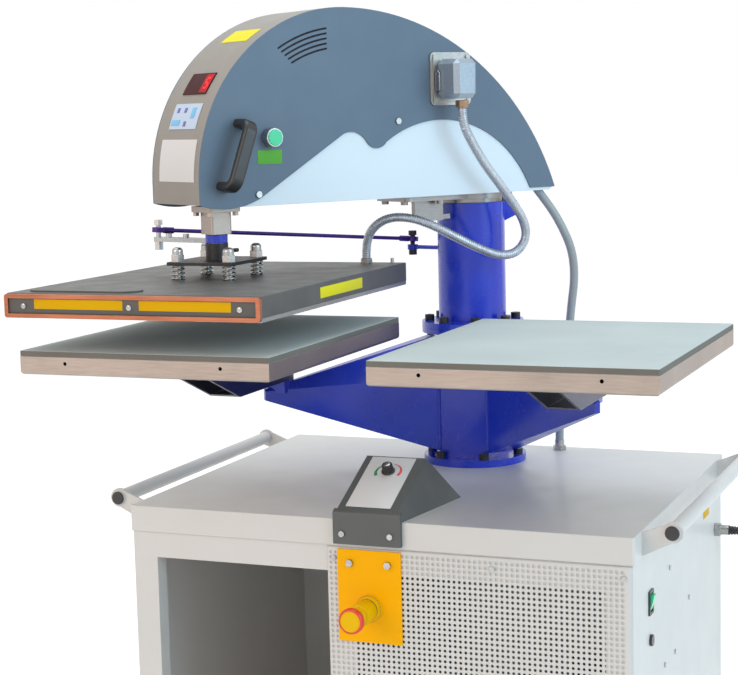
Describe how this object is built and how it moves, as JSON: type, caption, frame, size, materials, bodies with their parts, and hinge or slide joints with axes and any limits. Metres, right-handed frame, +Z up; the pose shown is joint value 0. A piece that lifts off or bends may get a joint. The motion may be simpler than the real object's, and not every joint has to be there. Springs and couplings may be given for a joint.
{
  "type": "dual station heat press",
  "caption": "Swing-head heat press on a cabinet trolley: one heated platen turns between two padded stations and presses down on either.",
  "frame": {"origin": "on the floor under the middle of the machine's box, the cord left out", "axes": "+X to the operator's right, +Y to the back, +Z up"},
  "size_m": [1.0084, 0.835, 1.455],
  "materials": {
    "cabinet_paint": "light grey powder coat, satin, with a fine orange-peel",
    "cradle_blue": "deep blue gloss enamel",
    "cover_grey": "dark slate grey fine-texture powder coat",
    "strip_grey": "warm grey fine-texture powder coat",
    "panel_white": "white satin powder coat",
    "platen_black": "black heat-resistant coating, matt",
    "stop_yellow": "yellow satin paint",
    "brushed_aluminium": "brushed aluminium, softly streaked",
    "cast_block": "cast aluminium heating block, matt",
    "copper_trim": "copper-coloured anodised frame",
    "bright_steel": "bright nickel-plated steel",
    "machined_steel": "turned steel with fine tool marks",
    "black_steel": "black-oxide steel, oily sheen",
    "hose_metal": "galvanised wound steel hose",
    "hose_grey": "grey PVC-covered spiral hose",
    "pad_rubber": "grey silicone foam, matt, finely pitted",
    "black_plastic": "black moulded plastic, fine texture",
    "cord_rubber": "black rubber cord sheath",
    "button_green": "translucent green moulded plastic",
    "button_yellow": "yellow moulded plastic with a red rim",
    "display": "dark red filter window, glossy",
    "control_wedge": "dark grey fine-texture powder coat",
    "board_green": "green circuit board",
    "tyre_grey": "grey rubber tyre",
    "link_purple": "blue-violet anodised rod"
  },
  "bodies": {
    "cabinet": {"cabinet_body": "cabinet_paint", "perforated_panel": "cabinet_paint", "cabinet_top": "cabinet_paint", "push_bars": "cabinet_paint", "cradle": "cradle_blue", "column": "cradle_blue", "column_bolts": "black_steel", "column_bearings": "machined_steel", "platen_channels": "cabinet_paint", "lower_platens": "brushed_aluminium", "platen_pads": "pad_rubber", "control_box": "control_wedge", "estop_plate": "stop_yellow", "cabinet_screws": "bright_steel", "switch_housings": "black_plastic", "cable_glands": "bright_steel", "power_unit": "black_steel", "castor_plates": "bright_steel", "mains_cord": "cord_rubber", "mains_coil": "cord_rubber", "mains_tail": "cord_rubber", "mains_plug": "black_plastic"},
    "head": {"arm_beam": "panel_white", "hood_strip": "strip_grey", "side_covers": "cover_grey", "grip": "black_plastic", "start_bezel": "bright_steel", "connector_base": "cast_block", "connector_hood": "cast_block", "head_flange": "brushed_aluminium", "guide_block": "brushed_aluminium", "press_actuator": "machined_steel", "pivot_shaft": "machined_steel", "control_board": "board_green", "control_panel": "display", "cover_screws": "bright_steel", "rear_hose": "hose_grey", "platen_hose": "hose_metal"},
    "ram": {"ram": "machined_steel"},
    "press_shaft": {"press_shaft": "machined_steel", "link_arm": "bright_steel", "spring_plate": "black_steel"},
    "heat_platen": {"platen_cover": "platen_black", "heating_block": "cast_block", "platen_front": "copper_trim", "platen_studs": "bright_steel", "springs": "bright_steel"},
    "link_joint": {"link_joint": "bright_steel"},
    "link_rod": {"link_rod": "link_purple"},
    "start_button": {"start_button": "button_green"},
    "estop_plunger": {"estop_plunger": "black_plastic"},
    "estop_button": {"estop_button": "button_yellow"},
    "pressure_knob": {"pressure_knob": "black_plastic"},
    "rocker": {"rocker": "button_green"},
    "castor_left": {"castor_fork_left": "bright_steel"},
    "castor_right": {"castor_fork_right": "bright_steel"},
    "wheel_front_left": {"castor_wheel_front_left": "tyre_grey"},
    "wheel_front_right": {"castor_wheel_front_right": "tyre_grey"},
    "wheel_rear_left": {"castor_wheel_rear_left": "tyre_grey"},
    "wheel_rear_right": {"castor_wheel_rear_right": "tyre_grey"}
  },
  "joints": [
    {"name": "head_swing", "type": "hinge", "parent": "cabinet", "child": "head", "pos_m": [0, 0.274, 1.15], "axis": [0, 0, 1], "range_deg": [0, 66.93], "deforming": ["rear_hose"]},
    {"name": "press_stroke", "type": "slide", "parent": "head", "child": "ram", "axis": [0, 0, 1], "range_m": [-0.0497, 0], "deforming": ["platen_hose"]},
    {"name": "platen_swivel", "type": "hinge", "parent": "ram", "child": "press_shaft", "pos_m": [-0.272, -0.1375, 1.1], "axis": [0, 0, 1], "range_deg": [-66.94, 0.01]},
    {"name": "platen_float", "type": "slide", "parent": "press_shaft", "child": "heat_platen", "axis": [0, 0, 1], "range_m": [0, 0.006], "stiffness_N_per_m": 40000, "springref_m": -0.012, "deforming": ["springs"]},
    {"name": "link_yaw", "type": "hinge", "parent": "cabinet", "child": "link_joint", "pos_m": [-0.118, 0.306, 1.075], "axis": [0, 0, 1], "range_deg": [-0.01, 66.94]},
    {"name": "link_tilt", "type": "hinge", "parent": "link_joint", "child": "link_rod", "pos_m": [-0.118, 0.306, 1.075], "axis": [-0.8342, 0.5514, 0], "range_deg": [-5.77, 0.01]},
    {"name": "start_press", "type": "slide", "parent": "head", "child": "start_button", "axis": [-0.8342, 0.5514, 0], "range_m": [0, 0.003], "stiffness_N_per_m": 600, "springref_m": -0.002},
    {"name": "estop_press", "type": "slide", "parent": "cabinet", "child": "estop_plunger", "axis": [0, 1, 0], "range_m": [0, 0.004], "stiffness_N_per_m": 1000, "springref_m": -0.002},
    {"name": "estop_twist", "type": "hinge", "parent": "estop_plunger", "child": "estop_button", "pos_m": [0, -0.283, 0.5685], "axis": [0, 1, 0], "range_deg": [0, 30], "stiffness_Nm_per_rad": 0.3, "springref_deg": -5.73},
    {"name": "knob_turn", "type": "hinge", "parent": "cabinet", "child": "pressure_knob", "pos_m": [0, -0.1325, 0.75572], "axis": [0, -0.4217, 0.9067], "range_deg": [-135, 135]},
    {"name": "rocker_tip", "type": "hinge", "parent": "cabinet", "child": "rocker", "pos_m": [0.39, -0.113, 0.581], "axis": [0, 1, 0], "range_deg": [0, 24]},
    {"name": "castor_swivel_left", "type": "hinge", "parent": "cabinet", "child": "castor_left", "pos_m": [-0.332, -0.1535, 0.09], "axis": [0, 0, 1], "continuous": true},
    {"name": "castor_swivel_right", "type": "hinge", "parent": "cabinet", "child": "castor_right", "pos_m": [0.332, -0.1535, 0.09], "axis": [0, 0, 1], "continuous": true},
    {"name": "wheel_roll_front_left", "type": "hinge", "parent": "castor_left", "child": "wheel_front_left", "pos_m": [-0.332, -0.1235, 0.0375], "axis": [1, 0, 0], "continuous": true},
    {"name": "wheel_roll_rear_left", "type": "hinge", "parent": "cabinet", "child": "wheel_rear_left", "pos_m": [-0.332, 0.3525, 0.0375], "axis": [1, 0, 0], "continuous": true},
    {"name": "wheel_roll_front_right", "type": "hinge", "parent": "castor_right", "child": "wheel_front_right", "pos_m": [0.332, -0.1235, 0.0375], "axis": [1, 0, 0], "continuous": true},
    {"name": "wheel_roll_rear_right", "type": "hinge", "parent": "cabinet", "child": "wheel_rear_right", "pos_m": [0.332, 0.3525, 0.0375], "axis": [1, 0, 0], "continuous": true}
  ],
  "couplings": [
    {"joint": "platen_swivel", "follows": "head_swing", "ratio": -1},
    {"joint": "link_yaw", "follows": "head_swing", "ratio": 1},
    {"joint": "link_tilt", "follows": "press_stroke", "rad_per_m": 2.0218}
  ]
}
